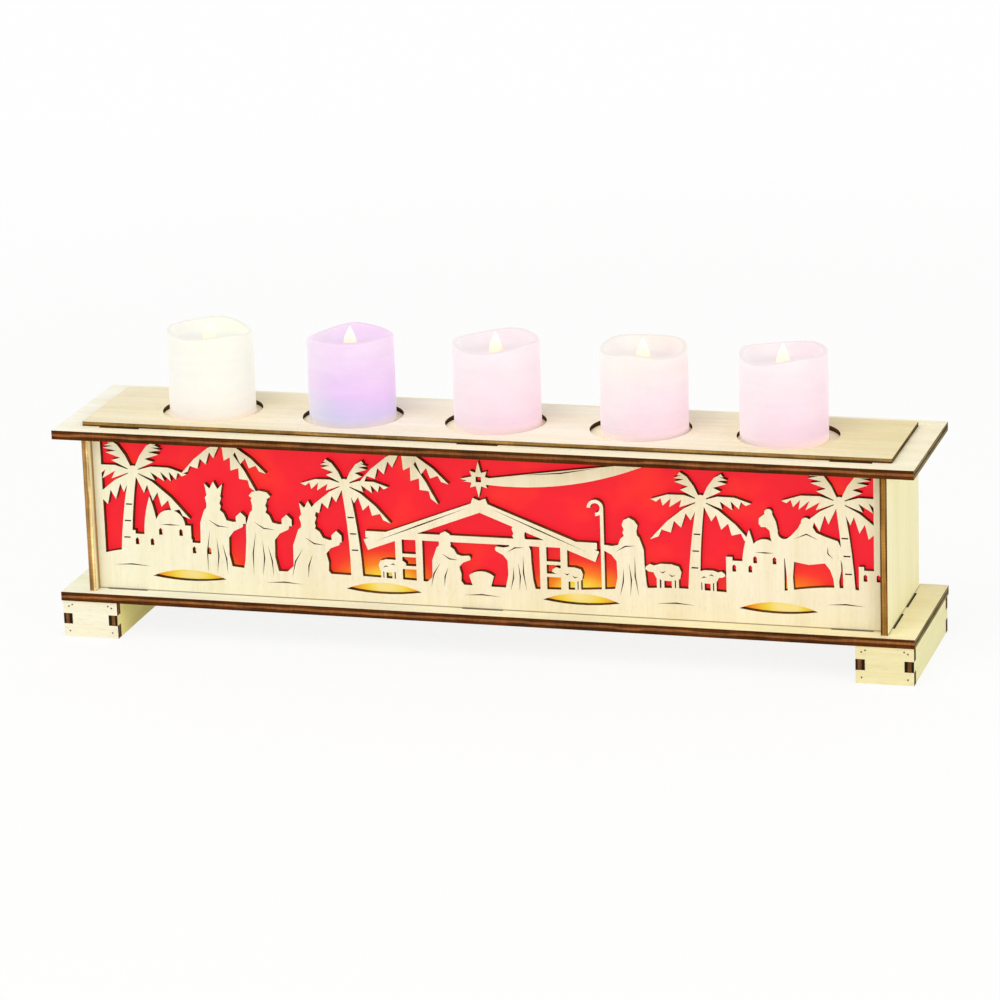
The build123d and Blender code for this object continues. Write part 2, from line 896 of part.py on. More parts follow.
def led_strip():
    """Strip of lamps on the base plate, with a terminal for the lead at its middle."""
    board = Box(strip_length, strip_width, strip_thickness, align=standing)
    lamp = Box(lamp_size, lamp_size, lamp_height, align=standing)
    first = -lamp_pitch * (lamp_count - 1) / 2
    board += [Pos(first + number * lamp_pitch, 0, strip_thickness) * lamp for number in range(lamp_count)]
    terminal = Box(terminal_length, strip_width, terminal_height, align=standing)
    board += Pos(lead_place, 0, strip_thickness) * terminal
    return Pos(0, -strip_place, base_top) * board


# Battery case


cell_bay_length = cell_length + 2 * case_contact_depth
cell_bay_width = 2 * cell_diameter + 3 * case_cell_clearance
cell_bay_height = cell_diameter + case_cell_clearance
case_length = cell_bay_length + case_switch_bay + 2 * case_wall
case_width = cell_bay_width + 2 * case_wall
case_height = case_wall + cell_bay_height + cover_thickness + 2 * cover_clearance + case_lip_height
case_place = plate_width / 2 - foot_inset - case_edge_gap - case_width / 2
case_floor = foot_height - case_height
cell_bay_end = case_length / 2 - case_wall
cell_bay_middle = cell_bay_end - cell_bay_length / 2
cell_place = (cell_diameter + case_cell_clearance) / 2
cell_level = foot_height - case_wall - cell_bay_height / 2
cover_level = case_floor + case_lip_height + cover_clearance
switch_place = -case_length / 2 + case_wall + case_switch_bay / 2
lead_place = switch_place


def battery_case():
    """Moulded tray that hangs under the base plate, open below, grooved for its sliding cover."""
    outward = (Align.MIN, Align.CENTER, Align.MIN)
    tray = Box(case_length, case_width, case_height, align=standing)
    bay_depth = case_height - case_wall
    bay = Box(cell_bay_length, cell_bay_width, bay_depth + overrun, align=standing)
    tray -= Pos(cell_bay_middle, 0, -overrun) * bay
    groove_length = cell_bay_length + case_wall + overrun
    groove_width = cell_bay_width + 2 * cover_groove
    groove = Box(groove_length, groove_width, cover_thickness + 2 * cover_clearance, align=outward)
    tray -= Pos(cell_bay_end - cell_bay_length, 0, case_lip_height) * groove
    mouth = Box(case_wall + overrun, cell_bay_width, case_lip_height + overrun, align=outward)
    tray -= Pos(cell_bay_end, 0, -overrun) * mouth
    tray -= Pos(switch_place, 0, 0) * switch_room()
    slot_width, slot_depth = lead_width + 2 * lead_clearance, lead_thickness + 2 * lead_clearance
    lead_slot = Box(slot_width, slot_depth, case_wall + overrun, align=standing)
    tray -= Pos(lead_place, 0, case_height - case_wall) * lead_slot
    return Pos(0, case_place, case_floor) * tray


def switch_room():
    """Room for the switch knob above a slot in the case's floor."""
    room_length = knob_length + knob_travel + 2 * (knob_flange + knob_clearance)
    room_width = knob_width + 2 * (knob_flange + knob_clearance)
    room_height = case_height - 2 * case_wall
    slot_length = knob_length + knob_travel + 2 * knob_clearance
    slot = Box(slot_length, knob_width + 2 * knob_clearance, case_wall + overrun, align=standing)
    room = Box(room_length, room_width, room_height, align=standing)
    return Pos(0, 0, case_wall) * room + Pos(0, 0, -overrun) * slot


def case_switch():
    """Switch knob that stands through the slot, with a flange that keeps it in."""
    knob = Box(knob_length, knob_width, case_wall + knob_clearance + knob_stand, align=standing)
    flange = Box(knob_length + 2 * knob_flange, knob_width + 2 * knob_flange, knob_flange, align=standing)
    knob += Pos(0, 0, case_wall + knob_clearance + knob_stand) * flange
    return Pos(switch_place - knob_travel / 2, case_place, case_floor - knob_stand) * knob


def battery_case_cover():
    """Sliding cover with thumb ribs near its outer end."""
    length = cell_bay_length + case_wall - cover_clearance
    width = cell_bay_width + 2 * (cover_groove - cover_clearance)
    cover = Box(length, width, cover_thickness, align=(Align.MAX, Align.CENTER, Align.MIN))
    under = (Align.MAX, Align.CENTER, Align.MAX)
    rib = Box(cover_rib_width, cell_bay_width / 2, case_lip_height, align=under)
    cover += [Pos(-(number + 1) * cover_rib_pitch, 0, 0) * rib for number in range(cover_rib_count)]
    return Pos(case_length / 2, case_place, cover_level) * cover


def battery_cells():
    """Two cells side by side."""
    cell = Rot(0, 90, 0) * Cylinder(cell_diameter / 2, cell_length)
    places = [(cell_bay_middle, case_place + side * cell_place, cell_level) for side in (-1, 1)]
    return Compound([Pos(*place) * cell for place in places])


def battery_contacts():
    """Four contact plates, each with a sprung pad pressed against its cell."""
    pad_height = case_contact_depth - contact_thickness
    plates = []
    for end in (-1, 1):
        wall = cell_bay_middle + end * (cell_bay_length - contact_thickness) / 2
        plate = Box(contact_thickness, contact_width, contact_width)
        pad = Box(pad_height, contact_pad, contact_pad)
        plate += Pos(-end * (contact_thickness + pad_height) / 2, 0, 0) * pad
        plates += [Pos(wall, case_place + side * cell_place, cell_level) * plate for side in (-1, 1)]
    return Compound(plates)


def light_lead():
    """Flat twin lead that rises from the case through the base plate and lies along it to the terminal."""
    level = base_top + lead_thickness / 2
    end = -strip_place + strip_width / 2
    corners = [
        (lead_place, case_place, foot_height - case_wall),
        (lead_place, case_place, level),
        (lead_place, end, level),
    ]
    path = FilletPolyline(*corners, radius=lead_bend_radius)
    section = Plane(path @ 0, x_dir=(1, 0, 0), z_dir=path % 0) * Rectangle(lead_width, lead_thickness)
    return sweep(section, path=path)


# LED candle, about its own axis with its underside at zero


candle_radius = candle_diameter / 2
core_top = candle_rim_height - bowl_depth
wax_bore = candle_radius - wax_wall
core_radius = wax_bore - core_clearance
well_radius = coin_diameter / 2 + coin_clearance
hatch_radius = well_radius - hatch_clearance
coin_seat = core_recess + hatch_thickness + hatch_clearance
slider_place = (well_radius - hatch_offset + core_radius) / 2
slider_floor = core_recess + slider_wall


def wax_shell(turn_degrees):
    """Wax sleeve round the core, with a rim melted down along three slopes."""
    shell = extrude(Circle(candle_radius) - Circle(wax_bore), 2 * candle_rim_height)
    slab = Box(2 * candle_diameter, 2 * candle_diameter, 2 * candle_rim_height, align=standing)
    steepest = math.tan(math.radians(max(rim_slope_degrees)))
    pivot = candle_rim_height + steepest * candle_radius / 2
    for number, degrees in enumerate(rim_slope_degrees):
        way = number * 360 / len(rim_slope_degrees)
        shell -= Rot(0, 0, way) * Pos(0, 0, pivot) * Rot(0, degrees, 0) * slab
    return Rot(0, 0, turn_degrees) * shell


def candle_core():
    """Moulded core: a pocket for the lamp on top, a well for the coin cell and a switch slot below."""
    core = Pos(0, 0, core_recess) * Cylinder(core_radius, core_top - core_recess, align=standing)
    pocket = board_size + 2 * board_clearance
    core -= Pos(0, 0, core_top) * Box(pocket, pocket, 2 * (board_thickness + chip_height + board_clearance))
    core -= Pos(-hatch_offset, 0, 0) * Cylinder(well_radius, coin_seat + coin_thickness, align=standing)
    return core - Pos(slider_place, 0, 0) * slider_room()


def slider_room():
    """Room for the switch slider above a slot in the underside."""
    room_width = slider_width + 2 * (slider_flange + slider_clearance)
    room_length = slider_length + slider_travel + 2 * (slider_flange + slider_clearance)
    room_height = slider_flange_thickness + 2 * slider_clearance
    slot_length = slider_length + slider_travel + 2 * slider_clearance
    slot = Box(slider_width + 2 * slider_clearance, slot_length, slider_floor + room_height, align=standing)
    return slot + Pos(0, 0, slider_floor) * Box(room_width, room_length, room_height, align=standing)


def switch_slider():
    """Switch slider, kept in its slot by a flange."""
    stem_height = slider_wall + slider_clearance
    slider = Box(slider_width, slider_length, stem_height, align=standing)
    flange_width, flange_length = slider_width + 2 * slider_flange, slider_length + 2 * slider_flange
    flange = Box(flange_width, flange_length, slider_flange_thickness, align=standing)
    slider += Pos(0, 0, stem_height) * flange
    return Pos(slider_place, -slider_travel / 2, core_recess) * slider


def battery_hatch():
    """Round cover of the coin cell, flush with the core, with a slot for a coin's edge."""
    slot = Box(hatch_slot_length, hatch_slot_width, 2 * hatch_slot_depth)
    hatch = Cylinder(hatch_radius, hatch_thickness, align=standing) - slot
    return Pos(-hatch_offset, 0, core_recess) * hatch


def coin_cell():
    """Coin cell in its well."""
    return Pos(-hatch_offset, 0, coin_seat) * Cylinder(coin_diameter / 2, coin_thickness, align=standing)


def led_board():
    """Small board in the core's pocket with the lamp chip on it."""
    level = core_top - board_thickness - chip_height - board_clearance
    board = Box(board_size, board_size, board_thickness, align=standing)
    board += Pos(0, 0, board_thickness) * Box(chip_size, chip_size, chip_height, align=standing)
    return Pos(0, 0, level) * board


def flame_tip():
    """Clear flame plate that stands on the core over the lamp, with a bowed outline."""
    foot, belly, point = flame_foot_width / 2, flame_width / 2, flame_point_width / 2
    belly_height = flame_height * flame_belly_share
    sides = [
        ThreePointArc((side * foot, 0), (side * belly, belly_height), (side * point, flame_height))
        for side in (-1, 1)
    ]
    ends = [Line(sides[0] @ end, sides[1] @ end) for end in (0, 1)]
    plate = extrude(Plane.XZ * make_face(sides + ends), flame_thickness / 2, both=True)
    return Pos(0, 0, core_top) * plate


def candle(number):
    """Pieces of one candle at its place in the candle plate."""
    slack = (candle_hole_diameter - candle_diameter) / 2
    x = candle_places()[number] + slack * candle_offset_shares[number % len(candle_offset_shares)]
    pieces = {
        "wax_shell": wax_shell(candle_turn_degrees[number % len(candle_turn_degrees)]),
        "core": candle_core(),
        "led_board": led_board(),
        "flame_tip": flame_tip(),
        "coin_cell": coin_cell(),
        "battery_hatch": battery_hatch(),
        "switch_slider": switch_slider(),
    }
    return {name: Pos(x, 0, seat_top) * piece for name, piece in pieces.items()}


# Assembly


def assembly():
    """Every piece of the candle holder by its name."""
    pieces = {
        "base_plate": base_plate(),
        "top_plate": top_plate(),
        "candle_plate": candle_plate(),
        "front_panel": front_panel(),
        "back_panel": back_panel(),
        "left_end_panel": end_panel(-1),
        "right_end_panel": end_panel(1),
        "red_film": red_film(),
        "led_strip": led_strip(),
        "light_lead": light_lead(),
        "battery_case": battery_case(),
        "battery_case_cover": battery_case_cover(),
        "battery_case_switch": case_switch(),
        "battery_cells": battery_cells(),
        "battery_contacts": battery_contacts(),
    }
    for side, hand in ((-1, "left"), (1, "right")):
        for board, shape in foot_boards(side).items():
            pieces[f"{hand}_foot_{board}"] = shape
    for number in range(candle_count):
        for piece, shape in candle(number).items():
            pieces[f"candle_{number + 1}_{piece}"] = shape
    return pieces


os.makedirs("parts", exist_ok=True)
for name, shape in assembly().items():
    export_step(shape, f"parts/{name}.step")
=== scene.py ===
"""Advent candle holder: a laser-cut plywood light box with a fretwork front and five LED candles on top."""

import math

import bmesh
import bpy
from mathutils import Matrix, Vector, noise


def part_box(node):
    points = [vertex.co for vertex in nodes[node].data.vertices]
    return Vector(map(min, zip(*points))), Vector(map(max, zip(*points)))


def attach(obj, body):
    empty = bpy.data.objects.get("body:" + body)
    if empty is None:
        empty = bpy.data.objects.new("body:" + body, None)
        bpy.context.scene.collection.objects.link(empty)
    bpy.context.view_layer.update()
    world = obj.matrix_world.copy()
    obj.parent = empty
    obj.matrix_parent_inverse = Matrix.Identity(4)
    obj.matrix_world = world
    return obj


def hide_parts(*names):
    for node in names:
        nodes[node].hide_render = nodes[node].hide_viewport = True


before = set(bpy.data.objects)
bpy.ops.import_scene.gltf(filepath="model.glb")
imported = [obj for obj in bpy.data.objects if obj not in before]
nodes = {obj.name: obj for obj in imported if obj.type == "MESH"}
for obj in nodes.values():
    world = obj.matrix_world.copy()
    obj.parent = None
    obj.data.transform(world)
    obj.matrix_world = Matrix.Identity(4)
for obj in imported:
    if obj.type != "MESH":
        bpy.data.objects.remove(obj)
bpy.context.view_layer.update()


# Feet: two hollow frames of four basswood plywood boards each, cut by laser, with pale faces and cut edges
# that are scorched brown. The side boards are tenoned through the front and back boards, which are pinned
# to them with small steel brads.


def paint(red, green, blue):
    """Linear colour of a paint that is given in screen values from 0 to 255."""
    shares = [value / 255 for value in (red, green, blue)]
    return [s / 12.92 if s <= 0.04045 else ((s + 0.055) / 1.055) ** 2.4 for s in shares] + [1]


def wire(tree, kind, inputs=(), **settings):
    """New node in a tree, with its settings, whose inputs take values or the sockets of other nodes."""
    node = tree.nodes.new(kind)
    for setting, value in settings.items():
        setattr(node, setting, value)
    for socket, value in dict(inputs).items():
        if isinstance(value, bpy.types.NodeSocket):
            tree.links.new(value, node.inputs[socket])
        else:
            node.inputs[socket].default_value = value
    return node


def spot_of(tree):
    """Place of a point on the object."""
    return wire(tree, "ShaderNodeTexCoord").outputs["Object"]


def parts_of(tree, vector):
    """The three parts of a vector."""
    return wire(tree, "ShaderNodeSeparateXYZ", {0: vector}).outputs


def math_of(tree, operation, *values):
    """Result of a Math node on values or sockets."""
    return wire(tree, "ShaderNodeMath", enumerate(values), operation=operation).outputs[0]


def ramp_of(tree, value, start, end, low=0.0, high=1.0):
    """Value that goes smoothly from low to high while the given one goes from start to end."""
    inputs = {"Value": value, 1: start, 2: end, 3: low, 4: high}
    return wire(tree, "ShaderNodeMapRange", inputs, interpolation_type="SMOOTHSTEP").outputs[0]


def noise_of(tree, place, per_metre, detail=3.0):
    """Noise about 0.5 at a place, with so many waves per metre along each axis."""
    spread = wire(tree, "ShaderNodeVectorMath", {0: place, 1: per_metre}, operation="MULTIPLY").outputs[0]
    inputs = {"Vector": spread, "Scale": 1.0, "Detail": detail, "Roughness": 0.55}
    return wire(tree, "ShaderNodeTexNoise", inputs).outputs["Fac"]


def swing_of(tree, waves, low, high):
    """Value that swings from low to high with a noise, which keeps mostly between 0.3 and 0.7."""
    return ramp_of(tree, waves, 0.3, 0.7, low, high)


def blend_of(tree, share, first, second):
    """Colour between two colours."""
    return wire(tree, "ShaderNodeMix", {0: share, 6: first, 7: second}, data_type="RGBA").outputs[2]


def tint_of(tree, colour, red, green, blue):
    """Colour whose three parts are multiplied by values or sockets."""
    filter_colour = wire(tree, "ShaderNodeCombineColor", {0: red, 1: green, 2: blue}).outputs[0]
    inputs = {0: 1.0, 6: colour, 7: filter_colour}
    return wire(tree, "ShaderNodeMix", inputs, data_type="RGBA", blend_type="MULTIPLY").outputs[2]


def effect(title, inputs, outputs):
    """Empty node group with named sockets: its tree, its input sockets by name and its output node."""
    tree = bpy.data.node_groups.new(title, "ShaderNodeTree")
    for socket, kind in inputs.items():
        tree.interface.new_socket(socket, in_out="INPUT", socket_type=f"NodeSocket{kind}")
    for socket, kind in outputs.items():
        tree.interface.new_socket(socket, in_out="OUTPUT", socket_type=f"NodeSocket{kind}")
    return tree, tree.nodes.new("NodeGroupInput").outputs, tree.nodes.new("NodeGroupOutput")


def finish_of(title, **values):
    """New material with its shader's plain values set: the material, its tree and the shader."""
    material = bpy.data.materials.new(title)
    material.use_nodes = True
    shader = material.node_tree.nodes["Principled BSDF"]
    for socket, value in values.items():
        shader.inputs[socket.replace("_", " ")].default_value = value
    return material, material.node_tree, shader


def bump_of(tree, shader, height, depth):
    """Surface relief of a depth from a height."""
    inputs = {"Strength": 1.0, "Distance": depth, "Height": height}
    tree.links.new(wire(tree, "ShaderNodeBump", inputs).outputs[0], shader.inputs["Normal"])


# Place is X along the grain, Y across it and Z through the board, and Depth goes from 0 at one face to 1 at
# the other. Cut is 1 on a cut edge, End is 1 on end grain, and Flip is 1 where end grain has its dark ply in
# the middle. Painted shade is 1 where a face is darkened towards the char colour to stand in for shade, and
# Streak says how strongly the grain shows. Stripe and Reach say where the paler core ply lies in the depth.
ply_inputs = {
    "Place": "Vector", "Depth": "Float", "Cut": "Float", "End": "Float", "Flip": "Float",
    "Painted shade": "Float", "Streak": "Float", "Stripe": "Float", "Reach": "Float",
    "Face": "Color", "Char": "Color", "Core": "Color",
}
finish_outputs = {"Color": "Color", "Roughness": "Float", "Height": "Float"}
ply, ply_in, ply_out = effect("Laser-cut plywood", ply_inputs, finish_outputs)
figure = noise_of(ply, ply_in["Place"], (5, 55, 55), detail=2)
streaks = noise_of(ply, ply_in["Place"], (16, 420, 420), detail=4)
fibres = noise_of(ply, ply_in["Place"], (90, 2600, 2600), detail=2)
pores = ramp_of(ply, noise_of(ply, ply_in["Place"], (240, 3600, 3600), detail=1), 0.66, 0.74)
shade = math_of(ply, "ADD", swing_of(ply, figure, -0.04, 0.025), swing_of(ply, streaks, -0.035, 0.02))
shade = math_of(ply, "ADD", shade, swing_of(ply, fibres, -0.014, 0.014))
shade = math_of(ply, "SUBTRACT", shade, math_of(ply, "MULTIPLY", pores, 0.05))
shade = math_of(ply, "ADD", 0.993, math_of(ply, "MULTIPLY", shade, ply_in["Streak"]))
reddened, yellowed = math_of(ply, "POWER", shade, 0.7), math_of(ply, "POWER", shade, 1.9)
face = tint_of(ply, ply_in["Face"], reddened, shade, yellowed)
# Painted shade: where the shade input is 1, the face is darkened towards the char colour.
face = blend_of(ply, ply_in["Painted shade"], face, ply_in["Char"])
wander = swing_of(ply, noise_of(ply, ply_in["Place"], (60, 60, 60), detail=2), -0.06, 0.06)
aside = math_of(ply, "SUBTRACT", math_of(ply, "ADD", ply_in["Depth"], wander), ply_in["Stripe"])
outer = math_of(ply, "SUBTRACT", math_of(ply, "ABSOLUTE", aside), ply_in["Reach"])
flipped = math_of(ply, "MULTIPLY", ply_in["End"], ply_in["Flip"])
charred = math_of(ply, "ABSOLUTE", math_of(ply, "SUBTRACT", ramp_of(ply, outer, -0.05, 0.06), flipped))
burn_clouds = swing_of(ply, noise_of(ply, ply_in["Place"], (70, 70, 70)), 0.72, 1.24)
kerf_lines = swing_of(ply, noise_of(ply, ply_in["Place"], (1700, 1700, 130), detail=2), 0.86, 1.1)
ply_lines = swing_of(ply, noise_of(ply, ply_in["Place"], (35, 35, 1600), detail=2), 0.7, 1.32)
burn = math_of(ply, "MULTIPLY", burn_clouds, math_of(ply, "MULTIPLY", kerf_lines, ply_lines))
edge = tint_of(ply, blend_of(ply, charred, ply_in["Core"], ply_in["Char"]), burn, burn, burn)
ply.links.new(blend_of(ply, ply_in["Cut"], face, edge), ply_out.inputs["Color"])
dull_edge = math_of(ply, "MULTIPLY", ply_in["Cut"], 0.2)
dryness = math_of(ply, "ADD", swing_of(ply, streaks, 0.6, 0.68), dull_edge)
ply.links.new(dryness, ply_out.inputs["Roughness"])
relief = math_of(ply, "SUBTRACT", fibres, math_of(ply, "MULTIPLY", pores, 0.8))
ply.links.new(relief, ply_out.inputs["Height"])

# A surface looks along an axis where that part of its normal is over square_on.
wood_relief, square_on = 0.00008, 0.7


def plywood(node, grain, through, face, char, core, stripe=0.5, reach=0.2):
    """Gives a board its plywood, with its grain along one axis and its thickness along another, and returns
    the material's tree, the place along each axis and the node of the plywood group."""
    material, tree, shader = finish_of(f"{node} plywood", Specular_IOR_Level=0.1)
    low, high = (corner["xyz".index(through)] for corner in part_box(node))
    spot = wire(tree, "ShaderNodeTexCoord").outputs
    axes = dict(zip("xyz", parts_of(tree, spot["Object"])))
    facing = dict(zip("xyz", parts_of(tree, spot["Normal"])))
    across = ({"x", "y", "z"} - {grain, through}).pop()
    place = wire(tree, "ShaderNodeCombineXYZ", enumerate(axes[axis] for axis in (grain, across, through)))
    depth = wire(tree, "ShaderNodeMapRange", {0: axes[through], 1: low, 2: high})
    cut = math_of(tree, "LESS_THAN", math_of(tree, "ABSOLUTE", facing[through]), square_on)
    end = math_of(tree, "GREATER_THAN", math_of(tree, "ABSOLUTE", facing[grain]), square_on)
    inputs = {
        "Place": place.outputs[0], "Depth": depth.outputs[0], "Cut": cut, "End": end, "Streak": 1.0,
        "Stripe": stripe, "Reach": reach, "Face": face, "Char": char, "Core": core,
    }
    board = wire(tree, "ShaderNodeGroup", inputs, node_tree=ply)
    tree.links.new(board.outputs["Color"], shader.inputs["Base Color"])
    tree.links.new(board.outputs["Roughness"], shader.inputs["Roughness"])
    bump_of(tree, shader, board.outputs["Height"], wood_relief)
    nodes[node].material_slots[0].material = material
    return tree, axes, board


# The inner side boards face in under the base plate. Their yellower tone is painted light and shade,
# standing in for the dim, warm light there.
foot_faces = {
    "left": {"front": paint(247, 241, 213), "outer": paint(247, 241, 213), "inner": paint(255, 244, 166)},
    "right": {"front": paint(239, 228, 179), "outer": paint(241, 237, 188), "inner": paint(250, 232, 158)},
}
foot_char, foot_core = paint(44, 26, 9), paint(112, 74, 42)
for hand, tones in foot_faces.items():
    for board in ("front", "back"):
        plywood(f"{hand}_foot_{board}", "x", "y", tones["front"], foot_char, foot_core)
    for board in ("outer", "inner"):
        plywood(f"{hand}_foot_{board}_side", "y", "x", tones[board], foot_char, foot_core)


def piece_of(title, mesh, material, body):
    """New smooth object from a bmesh, which rides on a body and takes its finish from a slot."""
    data = bpy.data.meshes.new(title)
    for facet in mesh.faces:
        facet.smooth = True
    mesh.to_mesh(data)
    mesh.free()
    data.materials.append(material)
    piece = bpy.data.objects.new(title, data)
    bpy.context.scene.collection.objects.link(piece)
    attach(piece, body)
    return piece


brad_radius, brad_height, brad_inset, brad_step = 0.0004, 0.00016, 0.0026, 0.0016
brad_sides, brad_top_share, second_inset_share = 12, 0.7, 0.7
brad_steel, tree, shader = finish_of("Brad steel", Metallic=1.0, Roughness=0.45)
rust = ramp_of(tree, noise_of(tree, spot_of(tree), (2500, 2500, 2500)), 0.4, 0.65)
tree.links.new(blend_of(tree, rust, paint(120, 112, 100), paint(92, 66, 44)), shader.inputs["Base Color"])
for hand in foot_faces:
    brads = bmesh.new()
    for board, outward in (("front", -1), ("back", 1)):
        low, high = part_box(f"{hand}_foot_{board}")
        head_y = (low.y if outward < 0 else high.y) + outward * brad_height / 2
        upright = Matrix.Rotation(-outward * math.pi / 2, 4, "X")
        for x, inward in ((low.x + brad_inset, 1), (high.x - brad_inset, -1)):
            corner_brads = (x, high.z - brad_inset), (x, low.z + brad_inset)
            second_brad = (x + inward * brad_step, high.z - second_inset_share * brad_inset)
            for head_x, head_z in (*corner_brads, second_brad):
                bmesh.ops.create_cone(
                    brads, cap_ends=True, segments=brad_sides, radius1=brad_radius,
                    radius2=brad_top_share * brad_radius, depth=brad_height,
                    matrix=Matrix.Translation((head_x, head_y, head_z)) @ upright,
                )
    bmesh.ops.recalc_face_normals(brads, faces=brads.faces)
    piece_of(f"{hand}_foot_brads", brads, brad_steel, "box")


# Base plate: a plywood board on the feet that carries the walls, with slots for their tabs. Its scorched
# edge shows the plies as dark lines with a redder layer between them, and the other way round on end grain.
plate_char, plate_core = paint(80, 39, 4), paint(139, 87, 46)
plate_end_char, plate_end_core = paint(64, 53, 28), paint(130, 115, 78)
plate_stripe, plate_reach = 0.5, 0.13


def tone_edges(tree, board, mask, char, core):
    """Gives the cut edges of a board other colours where a mask is 1."""
    for socket, colour in (("Char", char), ("Core", core)):
        toned = board.inputs[socket]
        before = toned.links[0].from_socket if toned.links else list(toned.default_value)
        tree.links.new(blend_of(tree, mask, before, colour), toned)


def plate_plywood(node, left_face, right_face, length_share):
    """Gives the base plate or the top plate its plywood, whose face colour changes from its left end on over
    a share of its length."""
    tree, axes, board = plywood(
        node, "x", "z", left_face, plate_char, plate_core, plate_stripe, plate_reach
    )
    low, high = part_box(node)
    change_end = low.x + length_share * (high.x - low.x)
    tone = blend_of(tree, ramp_of(tree, axes["x"], low.x, change_end), left_face, right_face)
    tree.links.new(tone, board.inputs["Face"])
    tone_edges(tree, board, board.inputs["End"].links[0].from_socket, plate_end_char, plate_end_core)
    board.inputs["Flip"].default_value = 1.0


plate_plywood("base_plate", paint(247, 246, 228), paint(251, 241, 197), length_share=1.0)


# Battery case: a moulded white tray fixed under the base plate, with a sliding cover, a black switch knob,
# two sleeved cells and plated contact plates.
spark_relief, scratch_relief = 0.00003, 0.00001
moulded_inputs = {"Place": "Vector", "Tone": "Color"}
moulded, moulded_in, moulded_out = effect("Moulded plastic", moulded_inputs, finish_outputs)
flow = swing_of(moulded, noise_of(moulded, moulded_in["Place"], (60, 60, 60), detail=2), 0.94, 1.03)
grit = noise_of(moulded, moulded_in["Place"], (3200, 3200, 3200), detail=1)
moulded.links.new(tint_of(moulded, moulded_in["Tone"], flow, flow, flow), moulded_out.inputs["Color"])
moulded.links.new(swing_of(moulded, grit, 0.38, 0.5), moulded_out.inputs["Roughness"])
moulded.links.new(grit, moulded_out.inputs["Height"])


def plastic(title, tone):
    """Moulded plastic of one colour with a fine spark-eroded grain."""
    material, tree, shader = finish_of(title, Specular_IOR_Level=0.4)
    inputs = {"Place": spot_of(tree), "Tone": tone}
    surface = wire(tree, "ShaderNodeGroup", inputs, node_tree=moulded).outputs
    tree.links.new(surface["Color"], shader.inputs["Base Color"])
    tree.links.new(surface["Roughness"], shader.inputs["Roughness"])
    bump_of(tree, shader, surface["Height"], spark_relief)
    return material


def metal(title, tone, per_metre):
    """Plated or brushed metal with fine scratches."""
    material, tree, shader = finish_of(title, Metallic=1.0)
    scratches = noise_of(tree, spot_of(tree), per_metre)
    tree.links.new(swing_of(tree, scratches, 0.22, 0.42), shader.inputs["Roughness"])
    worn = swing_of(tree, scratches, 0.88, 1.0)
    tree.links.new(tint_of(tree, tone, worn, worn, worn), shader.inputs["Base Color"])
    bump_of(tree, shader, scratches, scratch_relief)
    return material


def dress(material, *names):
    """Gives nodes of the frame a material."""
    for name in names:
        nodes[name].material_slots[0].material = material


white_plastic = plastic("White moulded plastic", paint(236, 234, 226))
black_plastic = plastic("Black moulded plastic", paint(38, 37, 36))
dress(white_plastic, "battery_case", "battery_case_cover")
dress(black_plastic, "battery_case_switch")
dress(metal("Contact plating", paint(205, 203, 198), (300, 300, 4000)), "battery_contacts")

# The cells' sleeves are plain dark grey with a lighter band near one end.
sleeve_band_share = 0.72
sleeve, tree, shader = finish_of("Cell sleeve", Metallic=0.6, Roughness=0.35)
spot = spot_of(tree)
along = parts_of(tree, spot)[0]
low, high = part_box("battery_cells")
band = math_of(tree, "GREATER_THAN", along, low.x + sleeve_band_share * (high.x - low.x))
wear = swing_of(tree, noise_of(tree, spot, (900, 900, 900)), 0.0, 1.0)
dark = blend_of(tree, wear, paint(58, 62, 70), paint(66, 70, 78))
tree.links.new(blend_of(tree, band, dark, paint(176, 172, 160)), shader.inputs["Base Color"])
dress(sleeve, "battery_cells")


# Lamp strip: a white circuit board glued along the base plate, with four warm lamps and a terminal, fed by
# a flat grey lead that comes up from the battery case.
lamp_top_height, lamp_top_reach = 0.0028, 0.0002
strip, tree, shader = finish_of("Lamp strip", Specular_IOR_Level=0.45, Roughness=0.5, Emission_Strength=1.5)
spot = spot_of(tree)
up = parts_of(tree, spot)[2]
lamp_top = math_of(tree, "COMPARE", up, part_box("led_strip")[0].z + lamp_top_height, lamp_top_reach)
mask = ramp_of(tree, noise_of(tree, spot, (700, 700, 700), detail=1), 0.48, 0.56)
lacquer = blend_of(tree, mask, paint(238, 237, 230), paint(228, 226, 217))
tree.links.new(blend_of(tree, lamp_top, lacquer, paint(255, 226, 120)), shader.inputs["Base Color"])
lamp_light = blend_of(tree, lamp_top, paint(0, 0, 0), paint(255, 205, 96))
tree.links.new(lamp_light, shader.inputs["Emission Color"])
dress(strip, "led_strip")
dress(plastic("Lead sheath", paint(206, 204, 198)), "light_lead")


# Walls: plain plywood ends and back, their tabs standing in the slots of the plates, and the fretwork front,
# whiter to the left, with every edge of its sawn picture scorched dark. Painted shade draws a thin brown
# line on the walls at the base plate and a wider band where the ends meet the front, and darkens the tabs.
wall_face, front_face, front_left_face = paint(247, 240, 196), paint(245, 234, 203), paint(246, 241, 211)
wall_char, wall_core = paint(72, 38, 14), paint(108, 66, 28)
left_char, left_core, left_stripe, left_reach = paint(170, 128, 74), paint(240, 207, 142), 0.85, 0.2
right_char, right_core, right_stripe, right_reach = paint(88, 54, 16), paint(156, 112, 48), 0.5, 0.3
foot_shade_strength, foot_shade_level, foot_shade_reach, corner_shade_level, corner_shade_reach = 0.75, 0.0002, 0.0006, 0.0015, 0.0035
base_top, front_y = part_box("base_plate")[1].z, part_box("front_panel")[0].y
boards = {
    "left_end_panel": plywood(
        "left_end_panel", "z", "x", wall_face, left_char, left_core, left_stripe, left_reach
    ),
    "right_end_panel": plywood(
        "right_end_panel", "z", "x", wall_face, right_char, right_core, right_stripe, right_reach
    ),
    "back_panel": plywood("back_panel", "x", "y", wall_face, wall_char, wall_core),
    "front_panel": plywood("front_panel", "z", "y", front_face, wall_char, wall_core),
}
